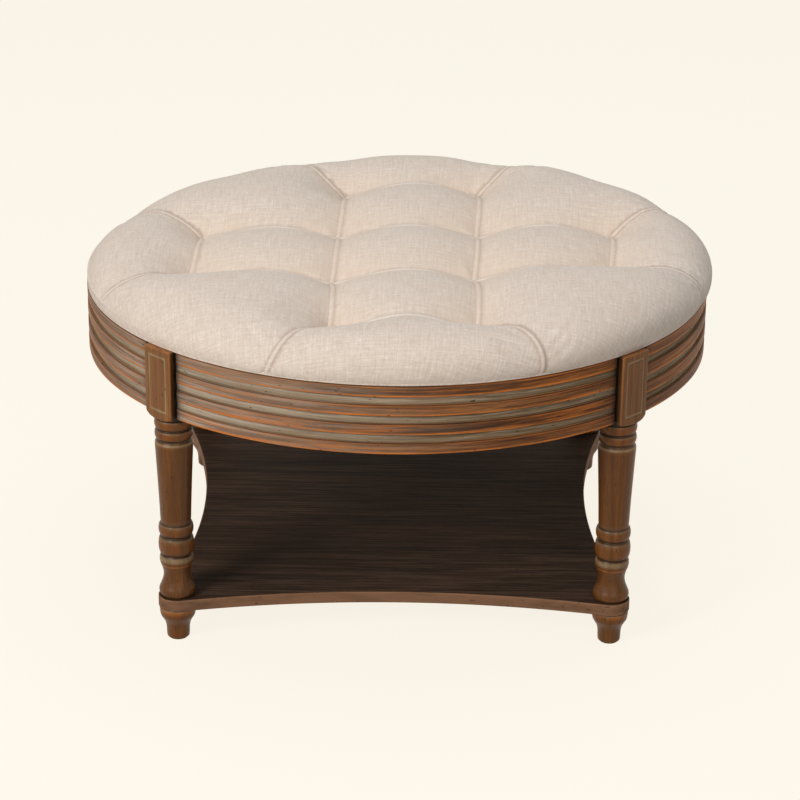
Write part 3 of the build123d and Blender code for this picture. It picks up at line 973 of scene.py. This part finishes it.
def stretched(flat, triangles, fixed):
    """Heights of a swollen cover over the flat points, held where fixed."""
    rows, columns, values = [], [], []
    area = np.zeros(len(flat))
    for turn in range(3):
        i, j, k = (triangles[:, (turn + offset) % 3] for offset in range(3))
        u = flat[i] - flat[k]
        v = flat[j] - flat[k]
        cross = np.abs(u[:, 0] * v[:, 1] - u[:, 1] * v[:, 0])
        cotangent = (u * v).sum(axis=1) / np.maximum(cross, 1e-9) / 2
        rows += [i, j]
        columns += [j, i]
        values += [cotangent, cotangent]
        area += np.bincount(i, cross / 6, len(flat))
    rows, columns, values = (np.concatenate(part) for part in (rows, columns, values))
    distance = np.hypot(*flat.T)
    spring = area / np.interp(distance, *pull_lengths) ** 2
    diagonal = np.bincount(rows, values, len(flat)) + spring
    free = np.isnan(fixed)

    def pulled(heights):
        return diagonal * heights - np.bincount(rows, values * heights[columns], len(flat))

    # Conjugate gradients
    heights = np.where(free, 0.0, fixed)
    residual = np.where(free, spring * np.interp(distance, *swells) - pulled(heights), 0.0)
    scale = np.where(free, 1 / np.maximum(diagonal, 1e-9), 0.0)
    step = scale * residual
    direction = step.copy()
    product = (residual * step).sum()
    for _ in range(1500):
        image = np.where(free, pulled(direction), 0.0)
        length = product / (direction * image).sum()
        heights += length * direction
        residual -= length * image
        step = scale * residual
        following = (residual * step).sum()
        if following < 1e-9:
            break
        direction = step + following / product * direction
        product = following
    return heights


def tuft_puckers(flat):
    """Short folds that run out from each tuft."""
    height = np.zeros(len(flat))
    for x, y, _ in tufts:
        away = flat - (x, y)
        distance = np.hypot(*away.T)
        angle = np.arctan2(away[:, 1], away[:, 0])
        near = np.exp(-((distance - pucker_reach) / pucker_width) ** 2)
        for folds in pucker_folds:
            phase = random.uniform(0, 2 * math.pi)
            size = random.uniform(0.5, 1.0) * 5 / folds
            height += size * np.cos(folds * angle + phase) * near
    return height


def back_dents(flat):
    """Soft dents behind the two back tufts, and the uneven filling of the back edge."""
    height = np.zeros(len(flat))
    for x, y, swell, width in back_filling:
        away = np.hypot(*(flat - (x, y)).T)
        height += swell * np.exp(-(away / width) ** 2)
    for x, y, _ in tufts[:2]:
        beyond = flat[:, 1] - y
        along = np.exp(-((beyond - dent_distance) / dent_length) ** 2) * (beyond > -40)
        height -= dent_depth * along * np.exp(-((flat[:, 0] - x) / dent_width) ** 2)
    return height


def leaned(points):
    """The cover's points, leaned over to +X from the hem up."""
    share = np.clip((points[:, 2] - drum_top - 1) / 50, 0, 1)
    share = share * (2 - share)
    points[:, 0] += cover_lean * share
    points[:, 2] += cover_tilt * points[:, 0] * share
    return points


def filled_out(points, faces, held):
    """The cover swollen by a short cloth simulation, held at its seams and hem."""
    scene = bpy.context.scene
    mesh = bpy.data.meshes.new("filling")
    mesh.from_pydata((points * MM).tolist(), [], faces)
    cover = show("filling", mesh)
    group = cover.vertex_groups.new(name="held")
    group.add([int(place) for place in np.nonzero(held)[0]], 1.0, "ADD")
    cloth = cover.modifiers.new("filling", "CLOTH")
    for key, value in cloth_settings.items():
        setattr(cloth.settings, key, value)
    cloth.settings.effector_weights.gravity = 0
    cloth.collision_settings.use_collision = False
    cloth.point_cache.frame_end = cloth_frames
    for step in range(1, cloth_frames + 1):
        scene.frame_set(step)
    swollen = cover.evaluated_get(bpy.context.evaluated_depsgraph_get()).data
    moved = np.empty(3 * len(points))
    swollen.vertices.foreach_get("co", moved)
    moved = moved.reshape(-1, 3) / MM - points
    scene.frame_set(1)
    bpy.data.objects.remove(cover)
    bpy.data.meshes.remove(mesh)
    length = np.linalg.norm(moved, axis=1)
    kept = cloth_cap * np.tanh(length / cloth_cap) / np.maximum(length, 1e-9)
    return points + moved * kept[:, None]


def make_cushion():
    """The tufted cover, closed below round the seat board."""
    flat, edges, fixed, lines_at = cushion_points(seam_lines())
    places, _, triangles, origins, *_ = delaunay_2d_cdt(
        [Vector(place) for place in flat], edges, [], 0, 1e-4, True)
    flat = np.array([tuple(place) for place in places])
    held = np.full(len(flat), np.nan)
    marks = np.zeros((len(flat), 2))
    for place, sources in enumerate(origins):
        values = [fixed[source] for source in sources if not np.isnan(fixed[source])]
        if values:
            held[place] = -max(values)
            marks[place] = lines_at[sources].max(axis=0)
    triangles = np.array([tuple(face) for face in triangles if len(face) == 3])
    rise = stretched(flat, triangles, held)
    # Painted warm bounce light, strongest in the deepest hollows
    valley = np.clip((-rise - 8) / 26, 0, 1)
    rise = rise + np.where(np.isnan(held), tuft_puckers(flat), 0.0) + back_dents(flat)
    points, normals = on_form(flat)
    points = leaned(points + normals * rise[:, None])

    angles = np.arctan2(flat[:, 1], flat[:, 0])
    rim = np.nonzero(np.hypot(*flat.T) > flat_edge - 0.5)[0]
    rim = rim[np.argsort(angles[rim])]
    count = len(rim)
    inner = board_radius + 0.4
    beside_board = [inner * np.cos(angles[rim]), inner * np.sin(angles[rim])]
    underside = [np.column_stack([*beside_board, np.full(count, height)])
                 for height in (drum_top + 0.35, board_top + 0.3)]
    shown = len(points)
    points = np.vstack([points] + underside)
    rings = [list(rim), list(range(shown, shown + count)), list(range(shown + count, len(points)))]
    faces = [tuple(face) for face in triangles]
    for upper, lower in zip(rings, rings[1:]):
        faces += [(upper[a], lower[a], lower[b], upper[b]) for a, b in cycle(count)]
    faces.append(tuple(rings[2]))

    is_held = np.ones(len(points), dtype=bool)
    is_held[:shown] = ~np.isnan(held)
    points = filled_out(points, faces, is_held)
    cloth = np.zeros((len(points), 3))
    cloth[:shown, :2] = flat * MM
    cloth[shown:, :2] = points[shown:, :2] * MM
    valley, seam, lap = (np.concatenate([values, np.zeros(2 * count)])
                         for values in (valley, marks[:, 0], marks[:, 1]))
    cushion = piece("linen_cushion", points, faces, linen_cloth, "linen", ["tufted_cushion"],
                    sharp_degrees=80, cloth=cloth, valley=valley, seam=seam, lap=lap)


# Solids that are shown as they are

def finish_solids():
    hardwood = plain_wood(
        "bare_hardwood", rgb(168, 132, 92), rgb(206, 172, 128), (230, 230, 12))
    finishes = {
        "apron_tenons": hardwood,
        "foot_tenons": hardwood,
        "corner_blocks": hardwood,
        "seat_board": plain_wood(
            "plywood", rgb(176, 144, 102), rgb(214, 184, 140), (8, 230, 230)),
        "board_screws": zinc_steel(),
        "tuft_tapes": plain_cloth("tape_weave", rgb(196, 188, 170), rgb(228, 222, 206), 1600),
        "dust_cover": plain_cloth("black_cloth", rgb(18, 18, 19), rgb(44, 43, 44), 1200),
    }
    for node, material in finishes.items():
        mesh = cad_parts[node].data
        mesh.materials.clear()
        mesh.materials.append(material)


# Studio

background = rgb(251, 245, 233)
warm_light = (1.0, 0.96, 0.92)
cool_light = (0.93, 0.965, 1.0)


def make_world():
    """An even pale light all round, which the camera and gloss see as the background."""
    world = bpy.data.worlds.new("studio")
    bpy.context.scene.world = world
    s = Shader(world)
    light = s.add("ShaderNodeBackground", {"Color": (0.985, 0.985, 0.985, 1), "Strength": 0.28})
    seen = s.add("ShaderNodeBackground", {"Color": background})
    mixed = s.choose(s.seen_directly(), light, seen)
    s.add("ShaderNodeOutputWorld", {"Surface": mixed})


def make_floor():
    """A plain pale floor that keeps a faint shadow and else looks like the background."""
    mesh = bpy.data.meshes.new("floor")
    outline = [(-14, -14, 0), (14, -14, 0), (14, 14, 0), (-14, 14, 0)]
    mesh.from_pydata(outline, [], [(0, 1, 2, 3)])
    floor = show("floor", mesh)
    s = Shader(bpy.data.materials.new("floor_paint"))
    diffuse = s.add("ShaderNodeBsdfDiffuse", {"Color": (0.55, 0.535, 0.505, 1)})
    glow = s.add("ShaderNodeEmission", {"Color": background, "Strength": 1.15})
    mixed = s.choose(s.times(s.seen_directly(), 0.82), diffuse, glow)
    s.add("ShaderNodeOutputMaterial", {"Surface": mixed})
    mesh.materials.append(s.owner)


def area_light(name, place, aim, size, watts, colour):
    """A round lamp at a place, turned to a level on the table's axis."""
    data = bpy.data.lights.new(name, "AREA")
    data.shape = "DISK"
    data.size = size
    data.energy = watts
    data.color = colour
    lamp = show(name, data)
    lamp.location = place
    way = Vector((0, 0, aim)) - Vector(place)
    lamp.rotation_euler = way.to_track_quat("-Z", "Y").to_euler()


def make_camera():
    """The photograph's view: a long lens in front of the table, looking down on it."""
    distance, elevation, roll = 3.7821, 0.386306, 0.010102
    image_pixels, focal_pixels = 800.0, 2660.43
    middle_x, middle_y = 396.0, 399.08
    target = Vector((0, 0, 0.230))
    data = bpy.data.cameras.new("camera")
    data.sensor_width = 36.0
    data.lens = focal_pixels / image_pixels * data.sensor_width
    data.shift_x = (image_pixels / 2 - middle_x) / image_pixels
    data.shift_y = (middle_y - image_pixels / 2) / image_pixels
    camera = show("camera", data)
    offset = Vector((0, -math.cos(elevation), math.sin(elevation))) * distance
    camera.location = target + offset
    aim = (-offset).to_track_quat("-Z", "Y").to_matrix()
    camera.rotation_euler = (aim @ Matrix.Rotation(roll, 3, "Z")).to_euler()
    bpy.context.scene.camera = camera


def make_studio():
    bpy.context.scene.view_settings.view_transform = "Standard"
    make_world()
    make_floor()
    area_light("key", (-2.8, -3.05, 2.6), 0.35, 1.5, 108, warm_light)
    area_light("front", (1.1, -4.1, 1.9), 0.35, 2.0, 26, warm_light)
    area_light("top", (0.2, 0.4, 3.4), 0.4, 2.4, 38, cool_light)
    make_camera()


make_drum()
make_legs()
make_shelf()
make_cushion()
finish_solids()
make_studio()
